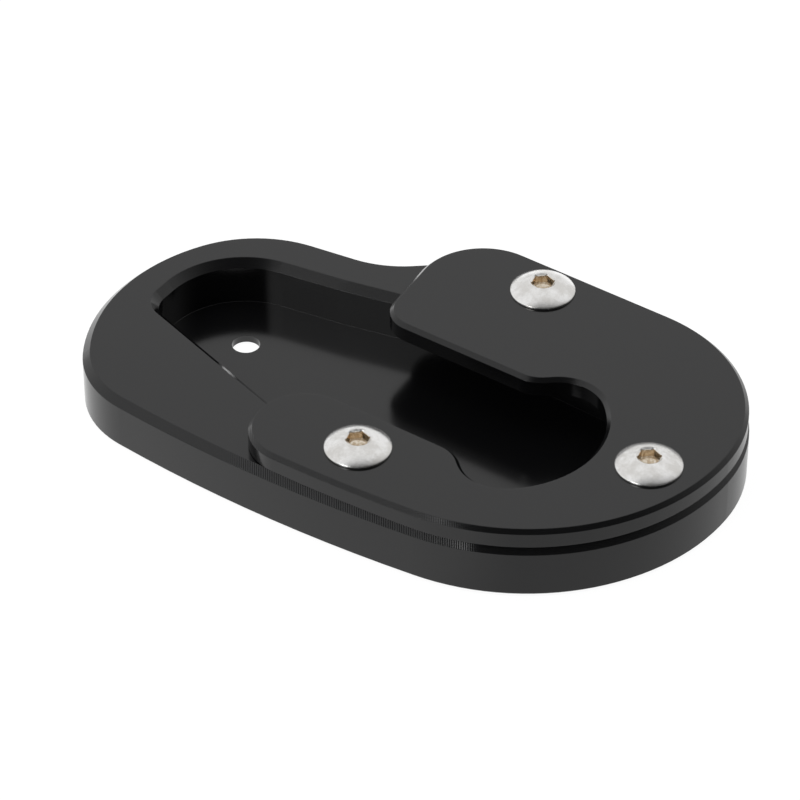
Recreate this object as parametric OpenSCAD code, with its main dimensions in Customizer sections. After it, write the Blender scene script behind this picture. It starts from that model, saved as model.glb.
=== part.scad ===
// Kickstand foot enlarger: a pocketed base plate, a C-shaped clamp plate on its rim
// and three button head screws that pull the clamp down on the stand's own foot.
// Millimetres. X runs along the clamp's slot, Z is up, the underside lies on Z = 0.

/* [Base plate] */
// height of the base plate
base_height = 8.5; // [8:0.1:12]
// radius of the big round end under the clamp
end_radius = 33.1; // [33:0.1:36]
// radius that eases the big end into the straight far side
end_corner_radius = 24.6; // [20:0.1:28]
// radius of the far shoulder
shoulder_radius = 19.6; // [17:0.1:20.5]
// radius of the waist, the hollow in the far side
waist_radius = 14.9; // [10:0.1:17]
// radius of the small end's far corner
left_far_radius = 19; // [17:0.1:20.5]
// radius of the small end's near corner
left_near_radius = 16.1; // [14:0.1:17]
// radius of the gentle bow along the small end
left_bow_radius = 28.6; // [26:0.1:60]
// radius of the long gentle bow along the near side
near_bow_radius = 232; // [180:1:400]
// width and height of the top edge chamfer
base_chamfer = 1.1; // [0.4:0.1:1.6]
// width and height of the bottom edge chamfer
base_foot_chamfer = 0.6; // [0.3:0.1:1.4]

/* [Pocket] */
// thickness of the floor left under the pocket
floor_thickness = 1.2; // [0.8:0.1:3]
// width and height of the bevel round the pocket's mouth
pocket_bevel = 1.2; // [0.5:0.1:2]
// radius of the wall at the small end's far corner
pocket_left_radius = 12.3; // [10:0.1:13]
// radius of the wall at the small end's near corner
pocket_near_radius = 3.7; // [2:0.1:6]
// radius of the wall at the clamp end
pocket_end_radius = 9.8; // [8:0.1:11]
// wall left between the waist and the pocket
waist_wall = 7.5; // [5:0.1:10]
// diameter of the drain hole through the floor
drain_diameter = 4.2; // [2:0.1:6]

/* [Clamp plate] */
// thickness of the clamp plate
clamp_thickness = 3; // [2:0.1:5]
// how far the clamp's edge stands back from the base's edge
clamp_reveal = 0.2; // [0:0.05:0.6]
// width and height of the chamfer round the top face
clamp_chamfer = 0.6; // [0.2:0.05:1]
// width and height of the small break round the underside
clamp_break = 0.2; // [0.1:0.05:0.4]
// width of the slot between the two arms
slot_width = 19; // [16:0.1:21]
// width of the keyhole at the slot's closed end
keyhole_width = 26.2; // [24:0.1:28]
// radius of the keyhole's two side lobes
lobe_radius = 6.3; // [5:0.1:7.5]
// radius of the keyhole's shallow end
keyhole_end_radius = 15.4; // [14:0.1:22]
// radius of the two lips where the slot meets the keyhole
lip_radius = 5.5; // [4:0.1:6.5]
// radius of the far arm's tip on the slot side
far_tip_radius = 5; // [3:0.1:9]
// radius of the far arm's tip on the outer side
far_shoulder_radius = 10.3; // [8:0.1:12]
// width of the near arm, whose tip is a half circle
near_arm_width = 15.7; // [14:0.1:17]

/* [Screws] */
// diameter of the thread
screw_diameter = 5; // [4:0.5:6]
// length of the screw under its head
screw_length = 10; // [8:0.5:10]
// diameter of the button head
head_diameter = 10; // [9:0.1:10.5]
// height of the button head
head_height = 2; // [1.8:0.05:3.3]
// straight rim under the head's dome
head_rim = 0.4; // [0.2:0.05:0.8]
// diameter of the flat on top of the head
head_flat = 4.4; // [4.2:0.1:5]
// size of the hexagon across its flats
hex_size = 3; // [2.5:0.5:3]
// depth of the hexagon socket
hex_depth = 1.6; // [1:0.1:2]
// radial room round the thread in the base's tapped holes
thread_clearance = 0.1; // [0.05:0.05:0.2]
// radial room round the thread in the clamp's holes
hole_clearance = 0.25; // [0.2:0.05:0.5]
// depth of the tapped holes in the base
tap_depth = 7.5; // [7.2:0.1:7.6]

/* [Hidden] */
$fn = 180;

slot_axis = -3.93;
end_centre = [15.1, 4.8];
end_corner_angle = 4;
shoulder_centre = [0.3, 10.6];
waist_centre = [-26, 33.5];
left_far_centre = [-28.3, -1.1];
left_near_centre = [-29.9, -13.1];

pocket_near_corner = [-38, -5];
pocket_side_centre = [-9.3, -6.3];
pocket_side_radius = 10.8;
pocket_end_near = [22.1, -3.9];
pocket_end_far = [22.1, 5];
pocket_shoulder_centre = [-1.5, 6.5];
pocket_shoulder_radius = 9.3;
pocket_left_centre = [-29.5, -2.3];
drain_centre = [-30.2, -0.6];

keyhole_x = 22.6;
lip_run = 1;
far_tip_x = -6;
far_shoulder_x = -1.8;
near_tip_x = -4.1;

screw_places = [[5.6, 24], [4.85, -20.85], [39.8, -0.8]];
thread_chamfer = 0.5;
mouth_depth = 0.25;

clamp_top = base_height + clamp_thickness;
cut_over = 0.5;
joint_gap = 0.01;
widest_part = 60;
blend = 0.3;
seam_lap = 0.1;
seam_short = 0.02;

// An outline is a ring of circles [x, y, radius, side]. Side is 1 where the outline bulges
// and -1 where it is hollow. Neighbours are joined by their common tangent, or touch.
function clip(k) = min(1, max(-1, k));
function heading(a, b) =
    atan2(b.y - a.y, b.x - a.x) - asin(clip((b[3] * b[2] - a[3] * a[2]) / norm([b.x - a.x, b.y - a.y])));
function rim_point(c, h) = [c.x + c[3] * c[2] * sin(h), c.y - c[3] * c[2] * cos(h)];
function next(ring, i) = ring[(i + 1) % len(ring)];
function last(ring, i) = ring[(i + len(ring) - 1) % len(ring)];
function entry(ring, i) = rim_point(ring[i], heading(last(ring, i), ring[i]));
function exit(ring, i) = rim_point(ring[i], heading(ring[i], next(ring, i)));
function run(ring, i) = norm(entry(ring, (i + 1) % len(ring)) - exit(ring, i));
function wrap(a) = a - 360 * floor(a / 360);
function turn(a) = wrap(a + 60) - 60;
function arc_sweep(ring, i) =
    let (c = ring[i])
    c[3] * turn(c[3] * (heading(c, next(ring, i)) - heading(last(ring, i), c)));

// An arc is drawn in equal parts, each short enough to stay close to its chord.
function parts(ring, i) = max(1, ceil(abs(arc_sweep(ring, i)) / widest_part));
function part_heading(ring, i, k) = heading(last(ring, i), ring[i]) + arc_sweep(ring, i) * k / parts(ring, i);

// A circle inside another one, touching it in a given direction.
function nested(c, r, a) = [c.x + (c[2] - r) * cos(a), c.y + (c[2] - r) * sin(a), r, c[3]];

// A large circle that holds and touches two smaller ones, its centre to the left of a to b.
function bow(a, b, r) =
    let (d = norm([b.x - a.x, b.y - a.y]),
         along = ((r - a[2]) ^ 2 - (r - b[2]) ^ 2 + d ^ 2) / (2 * d),
         off = sqrt((r - a[2]) ^ 2 - along ^ 2),
         u = [b.x - a.x, b.y - a.y] / d)
    [a.x + u.x * along - u.y * off, a.y + u.y * along + u.x * off, r, 1];

big_end = [end_centre.x, end_centre.y, end_radius, 1];
far_corner = nested(big_end, end_corner_radius, end_corner_angle);
left_far = [left_far_centre.x, left_far_centre.y, left_far_radius, 1];
left_near = [left_near_centre.x, left_near_centre.y, left_near_radius, 1];

base_ring = [
    big_end,
    far_corner,
    [shoulder_centre.x, shoulder_centre.y, shoulder_radius, 1],
    [waist_centre.x, waist_centre.y, waist_radius, -1],
    left_far,
    bow(left_far, left_near, left_bow_radius),
    left_near,
    bow(left_near, big_end, near_bow_radius)
];

pocket_ring = [
    [pocket_near_corner.x, pocket_near_corner.y, pocket_near_radius, 1],
    [pocket_side_centre.x, pocket_side_centre.y, pocket_side_radius, 1],
    [pocket_end_near.x, pocket_end_near.y, pocket_end_radius, 1],
    [pocket_end_far.x, pocket_end_far.y, pocket_end_radius, 1],
    [pocket_shoulder_centre.x, pocket_shoulder_centre.y, pocket_shoulder_radius, 1],
    [waist_centre.x, waist_centre.y, waist_radius + waist_wall, -1],
    [pocket_left_centre.x, pocket_left_centre.y, pocket_left_radius, 1]
];

slot_far = slot_axis + slot_width / 2;
slot_near = slot_axis - slot_width / 2;
lobe_y = keyhole_width / 2 - lobe_radius;
lip_y = slot_width / 2 + lip_radius;
lip_x = keyhole_x - sqrt((lip_radius + lobe_radius) ^ 2 + lip_run ^ 2 - (lip_y - lobe_y) ^ 2);
far_side = shoulder_centre.y + shoulder_radius - clamp_reveal;
far_lobe = [keyhole_x, slot_axis + lobe_y, lobe_radius, -1];
near_lobe = [keyhole_x, slot_axis - lobe_y, lobe_radius, -1];
keyhole_run = sqrt((keyhole_end_radius - lobe_radius) ^ 2 - lobe_y ^ 2);
clamp_end = [end_centre.x, end_centre.y, end_radius - clamp_reveal, 1];
near_tip = [near_tip_x, slot_near - near_arm_width / 2, near_arm_width / 2, 1];

clamp_ring = [
    clamp_end,
    nested(clamp_end, end_corner_radius - clamp_reveal, end_corner_angle),
    [far_shoulder_x, far_side - far_shoulder_radius, far_shoulder_radius, 1],
    [far_tip_x, slot_far + far_tip_radius, far_tip_radius, 1],
    [lip_x, slot_axis + lip_y, lip_radius, 1],
    far_lobe,
    [keyhole_x - keyhole_run, slot_axis, keyhole_end_radius, -1],
    near_lobe,
    [lip_x, slot_axis - lip_y, lip_radius, 1],
    near_tip,
    bow(near_tip, clamp_end, near_bow_radius)
];

// The whole part is centred on its outline, so that the origin is below its middle.
left_side = base_ring[5].x - left_bow_radius;
right_side = big_end.x + end_radius;
near_side = base_ring[7].y - near_bow_radius;
middle = [(left_side + right_side) / 2, (near_side + shoulder_centre.y + shoulder_radius) / 2];

// Arcs are drawn a hair larger than their circles, more so where they are sharper. Each then
// crosses its flatter neighbour at a distance of blend from their joint, with no step in the wall.
function swelled(c) = c[2] + blend ^ 2 / (2 * c[2]);
function degrees_per_mm(c) = 180 / (PI * c[2]);
function bend(c) = c[3] / c[2];
function bend_after(ring, i) = run(ring, i) > joint_gap ? 0 : bend(next(ring, i));
function bend_before(ring, i) =
    run(ring, (i + len(ring) - 1) % len(ring)) > joint_gap ? 0 : bend(last(ring, i));
function overrun(own, other) = abs(own) > abs(other) ? 2 * blend : 0;

// The straight-edged shape through the ends of all the parts of a ring's arcs.
module chords(ring) {
    polygon([for (i = [0 : len(ring) - 1], k = [0 : parts(ring, i)])
        if (k < parts(ring, i) || run(ring, i) > joint_gap) rim_point(ring[i], part_heading(ring, i, k))]);
}

// The sliver between a circle and the chord across one part of its arc, with a lap over the chord.
module sliver(ring, i, k) {
    c = ring[i];
    before = k == 0 ? overrun(bend(c), bend_before(ring, i)) : 0;
    after = k == parts(ring, i) - 1 ? overrun(bend(c), bend_after(ring, i)) : 0;
    p = rim_point(c, part_heading(ring, i, k) - c[3] * before * degrees_per_mm(c));
    q = rim_point(c, part_heading(ring, i, k + 1) + c[3] * after * degrees_per_mm(c));
    u = (q - p) / norm(q - p);
    out = c[3] * [u.y, -u.x];
    intersection() {
        translate([c.x, c.y]) circle(r = swelled(c));
        polygon([p, p + (u - out) * seam_lap, q - (u + out) * seam_lap, q,
                 q + u * c[2], q + (u + 2 * out) * c[2], p - (u - 2 * out) * c[2], p - u * c[2]]);
    }
}

module outline(ring) {
    difference() {
        union() {
            chords(ring);
            for (i = [0 : len(ring) - 1], k = [0 : parts(ring, i) - 1])
                if (ring[i][3] > 0) sliver(ring, i, k);
        }
        for (i = [0 : len(ring) - 1], k = [0 : parts(ring, i) - 1])
            if (ring[i][3] < 0) sliver(ring, i, k);
    }
}

// The triangle that a bevel cuts away, drawn across the edge. The material lies towards
// smaller x where side is 1, and below the edge where up is 1.
module bevel_profile(edge, size, side, up) {
    polygon([[edge - side * (size + cut_over), up * cut_over],
             [edge + side * cut_over, up * cut_over],
             [edge + side * cut_over, -up * (size + cut_over)]]);
}

// Two cuts meet where their arcs cross, and the flatter one runs on a little.
function reach(own, other) = own > other ? blend - seam_short : seam_lap - blend;

// Bevels the edge that a ring follows at height z. Inward is 1 round a solid and -1 round
// an opening, up is 1 for a top edge and -1 for a bottom edge.
module bevel(ring, size, z, inward = 1, up = 1) {
    for (i = [0 : len(ring) - 1]) {
        c = ring[i];
        own = inward * bend(c);
        sweep = arc_sweep(ring, i);
        first = heading(last(ring, i), c) - c[3] * 90;
        lead = reach(own, inward * bend_before(ring, i)) * degrees_per_mm(c);
        tail = reach(own, inward * bend_after(ring, i)) * degrees_per_mm(c);
        start = sweep > 0 ? first - lead : first + sweep - tail;
        translate([c.x, c.y, z])
            rotate_extrude(angle = abs(sweep) + lead + tail, start = start)
                bevel_profile(swelled(c), size, c[3] * inward, up);
        if (run(ring, i) > joint_gap) {
            p = exit(ring, i);
            early = reach(0, own);
            late = reach(0, inward * bend(next(ring, i)));
            translate([p.x, p.y, z])
                rotate([90, 0, heading(c, next(ring, i)) + 90])
                    translate([0, 0, -early])
                        linear_extrude(run(ring, i) + early + late) bevel_profile(0, size, -inward, up);
        }
    }
}

module hole(at, radius, z, depth) {
    translate([at.x, at.y, z]) cylinder(r = radius, h = depth);
}

base_plate_colour = [0.08, 0.08, 0.09];
clamp_plate_colour = [0.1, 0.1, 0.11];
steel_colour = [0.75, 0.75, 0.73];

module base_plate() color(base_plate_colour) difference() {
    linear_extrude(base_height) outline(base_ring);
    translate([0, 0, floor_thickness]) linear_extrude(base_height) outline(pocket_ring);
    bevel(base_ring, base_chamfer, base_height);
    bevel(base_ring, base_foot_chamfer, 0, up = -1);
    bevel(pocket_ring, pocket_bevel, base_height, inward = -1);
    hole(drain_centre, drain_diameter / 2, -cut_over, floor_thickness + 2 * cut_over);
    for (at = screw_places)
        hole(at, screw_diameter / 2 + thread_clearance, base_height - tap_depth, tap_depth + cut_over);
}

module clamp_plate() color(clamp_plate_colour) difference() {
    translate([0, 0, base_height]) linear_extrude(clamp_thickness) outline(clamp_ring);
    bevel(clamp_ring, clamp_chamfer, clamp_top);
    bevel(clamp_ring, clamp_break, base_height, up = -1);
    for (at = screw_places)
        hole(at, screw_diameter / 2 + hole_clearance, base_height - cut_over, clamp_thickness + 2 * cut_over);
}

// A button head is a ball cut off by its rim and by the flat on top.
module button_head() {
    drop = ((head_diameter / 2) ^ 2 + head_rim ^ 2 - (head_flat / 2) ^ 2 - head_height ^ 2)
        / (2 * (head_height - head_rim));
    ball = sqrt((head_flat / 2) ^ 2 + (head_height + drop) ^ 2);
    intersection() {
        translate([0, 0, -drop]) sphere(r = ball);
        cylinder(d = head_diameter, h = head_height);
    }
}

module socket() {
    corner = hex_size / 2 / cos(30);
    translate([0, 0, head_height - hex_depth]) cylinder(r = corner, h = hex_depth + cut_over, $fn = 6);
    translate([0, 0, head_height - mouth_depth])
        cylinder(r1 = corner - mouth_depth, r2 = corner + cut_over, h = mouth_depth + cut_over);
    translate([0, 0, head_height - hex_depth - hex_size / 4]) cylinder(r1 = 0, r2 = hex_size / 2, h = hex_size / 4);
}

module screw(at, turned) color(steel_colour) translate([at.x, at.y, clamp_top]) rotate(turned) difference() {
    union() {
        button_head();
        translate([0, 0, -screw_length + thread_chamfer])
            cylinder(d = screw_diameter, h = screw_length - thread_chamfer + head_rim);
        translate([0, 0, -screw_length])
            cylinder(r1 = screw_diameter / 2 - thread_chamfer, r2 = screw_diameter / 2, h = thread_chamfer);
    }
    socket();
}

module screw_far() screw(screw_places[0], 8);
module screw_near() screw(screw_places[1], 20);
module screw_end() screw(screw_places[2], 14);

translate([-middle.x, -middle.y, 0]) {
    base_plate();
    clamp_plate();
    screw_far();
    screw_near();
    screw_end();
}
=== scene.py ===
import math

import bpy
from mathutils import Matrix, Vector


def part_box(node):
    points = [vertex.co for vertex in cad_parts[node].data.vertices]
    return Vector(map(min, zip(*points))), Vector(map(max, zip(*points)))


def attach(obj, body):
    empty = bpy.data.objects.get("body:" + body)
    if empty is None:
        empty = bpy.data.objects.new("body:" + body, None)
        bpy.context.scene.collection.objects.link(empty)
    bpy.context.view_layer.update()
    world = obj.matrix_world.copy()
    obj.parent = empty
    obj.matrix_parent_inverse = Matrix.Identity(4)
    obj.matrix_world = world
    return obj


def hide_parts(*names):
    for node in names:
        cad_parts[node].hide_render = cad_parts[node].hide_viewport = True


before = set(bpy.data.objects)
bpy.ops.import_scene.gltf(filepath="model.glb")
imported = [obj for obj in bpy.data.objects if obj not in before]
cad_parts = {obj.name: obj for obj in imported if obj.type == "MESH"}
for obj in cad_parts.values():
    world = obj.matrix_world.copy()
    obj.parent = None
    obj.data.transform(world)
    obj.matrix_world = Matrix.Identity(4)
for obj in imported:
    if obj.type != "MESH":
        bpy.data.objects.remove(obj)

scene = bpy.context.scene
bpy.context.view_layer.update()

# The base plate, which stands on the ground. It is milled from a thick aluminium plate, with the
# pocket for the stand's foot cut in the same clamping, then blasted lightly and anodised black.


class Socket:
    """A value in a material's nodes. Sums and products of these add the Math nodes."""

    def __init__(self, finish, link):
        self.finish = finish
        self.link = link

    def math(self, operation, *others):
        return self.finish.add("ShaderNodeMath", dict(operation=operation), [self, *others])

    def __add__(self, other):
        return self.math("ADD", other)

    def __radd__(self, other):
        return self.math("ADD", other)

    def __sub__(self, other):
        return self.math("SUBTRACT", other)

    def __rsub__(self, other):
        return self.finish.add("ShaderNodeMath", dict(operation="SUBTRACT"), [other, self])

    def __mul__(self, other):
        return self.math("MULTIPLY", other)

    def __rmul__(self, other):
        return self.math("MULTIPLY", other)

    def __truediv__(self, other):
        return self.math("DIVIDE", other)

    def above(self, edge, soft):
        """0 below edge - soft and 1 above edge + soft."""
        return self.finish.add(
            "ShaderNodeMapRange",
            dict(interpolation_type="SMOOTHSTEP"),
            {"Value": self, "From Min": edge - soft, "From Max": edge + soft},
        )


class Finish:
    """A material with one Principled shader, and the calls that add nodes to it."""

    def __init__(self, name, **constants):
        self.material = bpy.data.materials.new(name)
        self.material.use_nodes = True
        self.tree = self.material.node_tree
        self.shader = self.tree.nodes["Principled BSDF"]
        for socket, value in constants.items():
            self.shader.inputs[socket].default_value = value

    def add(self, kind, settings, values, output=0):
        node = self.tree.nodes.new(kind)
        for name, value in settings.items():
            setattr(node, name, value)
        for key, value in values.items() if isinstance(values, dict) else enumerate(values):
            if isinstance(value, Socket):
                self.tree.links.new(value.link, node.inputs[key])
            else:
                node.inputs[key].default_value = value
        return Socket(self, node.outputs[output])

    def place(self):
        return self.add("ShaderNodeTexCoord", {}, {}, "Object")

    def facing(self):
        return self.add("ShaderNodeNewGeometry", {}, {}, "Normal")

    def axes(self, vector):
        return [self.add("ShaderNodeSeparateXYZ", {}, [vector], axis) for axis in "XYZ"]

    def noise(self, at, scale, detail=2.0, roughness=0.5):
        values = {"Vector": at, "Scale": scale, "Detail": detail, "Roughness": roughness}
        return self.add("ShaderNodeTexNoise", {}, values)

    def mixed(self, amount, low, high):
        values = {"Factor": amount, "A": low, "B": high}
        return self.add("ShaderNodeMix", dict(data_type="RGBA"), values, "Result")

    def feed(self, socket, value):
        self.tree.links.new(value.link, self.shader.inputs[socket])

    def bumps(self, *layers):
        """Each layer is a height and how deep it is, in metres. They lie on edges broken by a hair."""
        hair = 0.00012
        normal = self.add("ShaderNodeBevel", dict(samples=6), {"Radius": hair})
        for height, depth in layers:
            values = {"Height": height, "Strength": 1.0, "Distance": depth, "Normal": normal}
            normal = self.add("ShaderNodeBump", {}, values)
        self.feed("Normal", normal)


def black_anodised(name, grain_seed, marks_and_sheen):
    """Milled aluminium under a dyed oxide layer: satin, with a faint blasted grain, a little dust, and
    cutter ribs painted lighter as a sheen.
    """
    finish = Finish(name, IOR=1.53)
    at = finish.place()
    shifted = finish.add("ShaderNodeVectorMath", dict(operation="ADD"), [at, (grain_seed, grain_seed, 0.0)])
    x, y, _ = finish.axes(at)
    _, face_y, face_z = finish.axes(finish.facing())

    # cutter marks cross the near side's chamfers, on its left half. Their ribs are real bumps, and their
    # lighter colour is a painted sheen where they catch the light
    rib_pitch = 0.00031
    rib_turn = math.radians(35.4)
    chamfer = face_z.above(0.45, 0.1) * (1 - face_z.above(0.92, 0.03))
    near = (face_y * -1.0).above(0.45, 0.1) * (y * -1.0).above(0.017, 0.004)
    along = x * math.cos(rib_turn) + y * math.sin(rib_turn)
    left_half = along.above(-0.026, 0.004) * (1 - along.above(0.006, 0.005))
    ribs = (along * (math.tau / rib_pitch)).math("SINE") * 0.5 + 0.5
    patchy = finish.noise(at, 90.0, 2.0).above(0.4, 0.2)
    cutter_marks_and_sheen = ribs * chamfer * near * left_half * patchy * marks_and_sheen

    grain = finish.noise(shifted, 9000.0, 3.0, 0.7)
    cloud = finish.noise(shifted, 60.0, 3.0, 0.5)

    # dust: few cells hold a speck, and only on what faces up
    cells = {"Vector": shifted, "Scale": 260.0, "Randomness": 1.0}
    from_speck = finish.add("ShaderNodeTexVoronoi", dict(feature="F1"), cells)
    lot = finish.add("ShaderNodeTexVoronoi", dict(feature="F1"), cells, "Color")
    chosen = finish.add("ShaderNodeSeparateColor", {}, [lot], "Red").above(0.985, 0.002)
    dust = (1 - from_speck.above(0.025, 0.01)) * chosen * face_z.above(0.6, 0.1)

    dyed = finish.mixed(cloud, (0.0050, 0.0051, 0.0056, 1), (0.0068, 0.0069, 0.0074, 1))
    # the ribs are painted lighter than the dye: a painted sheen, not a change in the oxide
    dyed_with_painted_sheen = finish.mixed(cutter_marks_and_sheen, dyed, (0.024, 0.025, 0.027, 1))
    finish.feed("Base Color", finish.mixed(dust, dyed_with_painted_sheen, (0.5, 0.5, 0.48, 1)))
    finish.feed("Roughness", 0.125 + cloud * 0.04 + dust * 0.4)
    finish.bumps((grain, 0.0000004), (cutter_marks_and_sheen, 0.00004))
    return finish.material


base_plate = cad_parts["base_plate"]
for slot in base_plate.material_slots:
    slot.material = black_anodised("black_anodised_base", 0.0, 1.0)

# The clamp plate lies on the base plate's rim and laps over the stand's foot. It is milled from
# thinner plate of the same alloy, broken at its edges and anodised in the same bath.
clamp_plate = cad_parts["clamp_plate"]
for slot in clamp_plate.material_slots:
    slot.material = black_anodised("black_anodised_clamp", 0.37, 0.35)

# Three stainless steel button head screws, forged with a low dome, broached for a hexagon key
# and rolled with a thread. They pass through the clamp's holes into the base's tapped holes.
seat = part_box("clamp_plate")[1][2]
head_width = 0.0095
rim_height = 0.0003
dome_radius = 0.0070
dome_height = 0.0016
edge_round = 0.00006
edge_break = 0.00004
shank_width = 0.005
tip_chamfer = 0.0005
thread_pitch = 0.0008
key_size = 0.003
key_depth = 0.0015
mouth_lip = 0.00018
mouth_break = 0.0003
drill_radius = key_size * 0.46
drill_cone = key_size * 0.25
drill_gap = key_size * 0.1
rim = seat + rim_height
top = rim + dome_height
dome_centre = rim - math.sqrt(dome_radius**2 - (head_width / 2) ** 2)


def stainless(name, centre_x, centre_y):
    """Passivated steel: bright, with a fine pickled grain, and a rolled thread below the head."""
    finish = Finish(name, Metallic=1.0)
    at = finish.place()
    x, y, z = finish.axes(at)
    grain = finish.noise(at, 5200.0, 3.0, 0.65)
    cloud = finish.noise(at, 420.0, 3.0)
    dull = finish.noise(at, 300.0, 4.0, 0.6).above(0.5, 0.12)
    bare = finish.mixed(dull, (0.97, 0.965, 0.955, 1), (0.78, 0.765, 0.74, 1))

    # tan stains of cutting oil are left in the socket
    from_axis = ((x - centre_x) * (x - centre_x) + (y - centre_y) * (y - centre_y)).math("SQRT")
    within = 1 - from_axis.above(0.0018, 0.00004)
    socket = within * (1 - z.above(top - 0.0003, 0.0001))
    patchy = finish.noise(at, 2200.0, 3.0).above(0.5, 0.15)
    stain = finish.mixed(patchy, (0.62, 0.50, 0.36, 1), (0.88, 0.80, 0.68, 1))

    # the thread is a ridge that climbs by its pitch in each turn
    angle = (y - centre_y).math("ARCTAN2", x - centre_x) / math.tau
    turn = (z / thread_pitch - angle).math("FRACT")
    thread = (turn - 0.5).math("ABSOLUTE") * (1 - z.above(seat - 0.0004, 0.0001))

    finish.feed("Base Color", finish.mixed(socket, bare, stain))
    finish.feed("Roughness", 0.17 + cloud * 0.08 + grain * 0.06)
    finish.bumps((cloud, 0.00003), (grain, 0.000004), (thread, 0.0008))
    return finish.material


def select_only(*objects):
    bpy.ops.object.select_all(action="DESELECT")
    for one in objects:
        one.select_set(True)
    bpy.context.view_layer.objects.active = objects[0]


def cut_with(body, tool):
    select_only(body)
    cut = body.modifiers.new("cut", "BOOLEAN")
    cut.operation = "DIFFERENCE"
    cut.solver = "EXACT"
    cut.object = tool
    bpy.ops.object.modifier_apply(modifier="cut")
    bpy.data.objects.remove(tool)


def turn_on_lathe(name, centre_x, centre_y, outline):
    """A point is drawn out along half of the cross-section and spun round the screw's axis."""
    bpy.ops.object.select_all(action="DESELECT")
    bpy.ops.mesh.primitive_plane_add(size=0.001)
    bpy.context.object.name = name
    bpy.ops.object.mode_set(mode="EDIT")
    bpy.ops.mesh.merge(type="CENTER")
    bpy.ops.transform.translate(value=(centre_x + outline[0][0], centre_y, outline[0][1]))
    for start, end in zip(outline, outline[1:]):
        step = (end[0] - start[0], 0, end[1] - start[1])
        bpy.ops.mesh.extrude_region_move(TRANSFORM_OT_translate={"value": step})
    bpy.ops.mesh.select_all(action="SELECT")
    bpy.ops.mesh.spin(steps=128, angle=math.tau, center=(centre_x, centre_y, 0), axis=(0, 0, 1))
    bpy.ops.mesh.select_all(action="SELECT")
    bpy.ops.mesh.remove_doubles(threshold=0.000001)
    bpy.ops.mesh.normals_make_consistent(inside=False)
    bpy.ops.object.mode_set(mode="OBJECT")
    return bpy.context.object


for name, turned_by in (("screw_far", 43), ("screw_near", 45), ("screw_end", 41)):
    low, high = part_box(name)
    centre_x, centre_y = (low[0] + high[0]) / 2, (low[1] + high[1]) / 2
    tip = low[2]

    # from the flat on top over the dome to the rim, then under the head and down the shank
    flat = math.sqrt(dome_radius**2 - (top - dome_centre) ** 2)
    steps = 16
    dome = [flat + (head_width / 2 - flat) * i / steps for i in range(steps + 1)]
    outline = [(0, top)]
    outline += [(r, dome_centre + math.sqrt(dome_radius**2 - r * r)) for r in dome]
    outline += [(head_width / 2, seat + edge_round), (head_width / 2 - edge_round, seat)]
    outline += [(shank_width / 2, seat), (shank_width / 2, tip + tip_chamfer)]
    outline += [(shank_width / 2 - tip_chamfer, tip), (0, tip)]
    screw = turn_on_lathe(name + "_steel", centre_x, centre_y, outline)

    # the hexagon socket, with a broken mouth and the drill's cone at its bottom
    corner = key_size / 2 / math.cos(math.radians(30))
    bpy.ops.mesh.primitive_cylinder_add(
        vertices=6,
        radius=corner,
        depth=key_depth * 2,
        location=(centre_x, centre_y, top),
        rotation=(0, 0, math.radians(turned_by - 30)),
    )
    cut_with(screw, bpy.context.object)
    bpy.ops.mesh.primitive_cone_add(
        vertices=64,
        radius1=corner + mouth_lip - mouth_break,
        radius2=corner + mouth_lip + mouth_break,
        depth=mouth_break * 2,
        location=(centre_x, centre_y, top),
    )
    cut_with(screw, bpy.context.object)
    bpy.ops.mesh.primitive_cone_add(
        vertices=64,
        radius1=0,
        radius2=drill_radius,
        depth=drill_cone,
        location=(centre_x, centre_y, top - key_depth - drill_gap),
    )
    cut_with(screw, bpy.context.object)

    select_only(screw)
    broken = screw.modifiers.new("broken", "BEVEL")
    broken.width = edge_break
    broken.segments = 2
    broken.limit_method = "ANGLE"
    broken.angle_limit = math.radians(25)
    bpy.ops.object.modifier_apply(modifier="broken")
    bpy.ops.object.shade_smooth_by_angle(angle=math.radians(35))
    screw.data.materials.append(stainless("stainless_" + name, centre_x, centre_y))
    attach(screw, "root")
    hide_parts(name)

# The camera stands where the photograph was taken from, with a long lens.
turned, raised, away = math.radians(35.4), math.radians(38.5), 0.562
towards = Vector((math.sin(turned), -math.cos(turned), 0))
back = towards * math.cos(raised) + Vector((0, 0, math.sin(raised)))
look_at = Vector((0.003567, -0.008897, 0.0115))
camera = bpy.data.objects.new("camera", bpy.data.cameras.new("camera"))
scene.collection.objects.link(camera)
camera.data.sensor_width = 36
camera.data.lens = 180
camera.data.clip_start = 0.01
camera.location = look_at + back * away
camera.rotation_euler = (-back).to_track_quat("-Z", "Y").to_euler()
scene.camera = camera

# A plain pale floor, white to the camera and in reflections. It keeps a faint shadow of the part.
bpy.ops.mesh.primitive_plane_add(size=6.0, location=(0, 0, 0))
floor = bpy.context.object
floor.name = "floor"
paper = bpy.data.materials.new("paper")
paper.use_nodes = True
nodes, links = paper.node_tree.nodes, paper.node_tree.links
nodes.clear()


def node(kind, settings, values):
    made = nodes.new(kind)
    for name, value in settings.items():
        setattr(made, name, value)
    for key, value in values.items():
        if isinstance(value, bpy.types.NodeSocket):
            links.new(value, made.inputs[key])
        else:
            made.inputs[key].default_value = value
    return made


def ramp(value, start, end, low, high):
    values = {"Value": value, "From Min": start, "From Max": end, "To Min": low, "To Max": high}
    return node("ShaderNodeMapRange", {"interpolation_type": "SMOOTHSTEP"}, values).outputs[0]


def dot(vector, direction):
    made = node("ShaderNodeVectorMath", {"operation": "DOT_PRODUCT"}, {0: vector, 1: tuple(direction)})
    return made.outputs["Value"]


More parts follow.
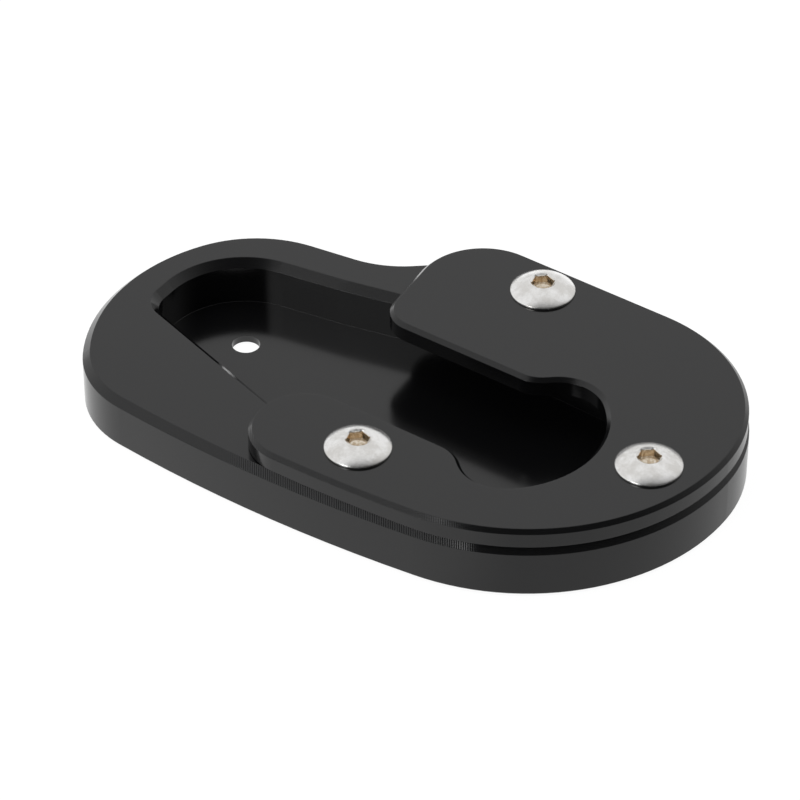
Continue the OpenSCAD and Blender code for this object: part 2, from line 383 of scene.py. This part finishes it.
# reflections find the floor brighter behind the part and on its left: a painted glow by position that stands
# in for the light on the floor
rightwards = Vector((-towards.y, towards.x, 0))
place = node("ShaderNodeTexCoord", {}, {}).outputs["Object"]
farther = ramp(dot(place, -towards), -0.05, 0.06, 0.66, 1.0)
brighter = ramp(dot(place, -rightwards), -0.014, 0.0, 0.0, 0.17)
strength = node("ShaderNodeMath", {"operation": "ADD"}, {0: farther, 1: brighter}).outputs[0]
mirrored = node("ShaderNodeEmission", {}, {"Strength": strength}).outputs[0]

# the camera finds it white, apart from the shadow
seen_matt = node("ShaderNodeBsdfDiffuse", {}, {"Color": (0.16, 0.16, 0.16, 1)}).outputs[0]
glow = node("ShaderNodeEmission", {}, {"Strength": 0.95}).outputs[0]
seen = node("ShaderNodeAddShader", {}, {0: seen_matt, 1: glow}).outputs[0]

matt = node("ShaderNodeBsdfDiffuse", {}, {"Color": (0.8, 0.8, 0.8, 1)}).outputs[0]
path = node("ShaderNodeLightPath", {}, {})
glossy = node("ShaderNodeMixShader", {}, {0: path.outputs["Is Glossy Ray"], 1: matt, 2: mirrored}).outputs[0]
shown = node("ShaderNodeMixShader", {}, {0: path.outputs["Is Camera Ray"], 1: glossy, 2: seen}).outputs[0]
node("ShaderNodeOutputMaterial", {}, {"Surface": shown})
floor.data.materials.append(paper)

# The studio is a tent, bright from the backdrop up to overhead and dim above the camera.
studio = bpy.data.worlds.new("studio")
studio.use_nodes = True
scene.world = studio
nodes, links = studio.node_tree.nodes, studio.node_tree.links
nodes.clear()
direction = node("ShaderNodeTexCoord", {}, {}).outputs["Generated"]
brightest = (Vector((0, 0, 1)) - towards).normalized()
left = node("ShaderNodeMath", {"operation": "MINIMUM"}, {0: dot(direction, rightwards), 1: 0.0}).outputs[0]
across = node("ShaderNodeMath", {"operation": "MULTIPLY"}, {0: left, 1: left}).outputs[0]
reach = node(
    "ShaderNodeMath", {"operation": "MULTIPLY_ADD"}, {0: across, 1: 0.5, 2: dot(direction, brightest)}
).outputs[0]
tent = ramp(reach, 0.13, 0.62, 0.06, 1.0)

# a soft box stands low in front, to the left of the camera
box_turned, box_raised = math.radians(-11), math.radians(32)
box_at = Vector((math.sin(box_turned), -math.cos(box_turned), math.tan(box_raised))).normalized()
box_edge, box_core = math.cos(math.radians(14)), math.cos(math.radians(7))
box = ramp(dot(direction, box_at), box_edge, box_core, 0.0, 5.0)

both = node("ShaderNodeMath", {"operation": "ADD"}, {0: tent, 1: box}).outputs[0]
lit = node("ShaderNodeBackground", {}, {"Strength": both}).outputs[0]
white = node("ShaderNodeBackground", {}, {"Strength": 1.0}).outputs[0]
path = node("ShaderNodeLightPath", {}, {})
sky = node("ShaderNodeMixShader", {}, {0: path.outputs["Is Camera Ray"], 1: lit, 2: white}).outputs[0]
node("ShaderNodeOutputWorld", {}, {"Surface": sky})

scene.view_settings.view_transform = "Standard"
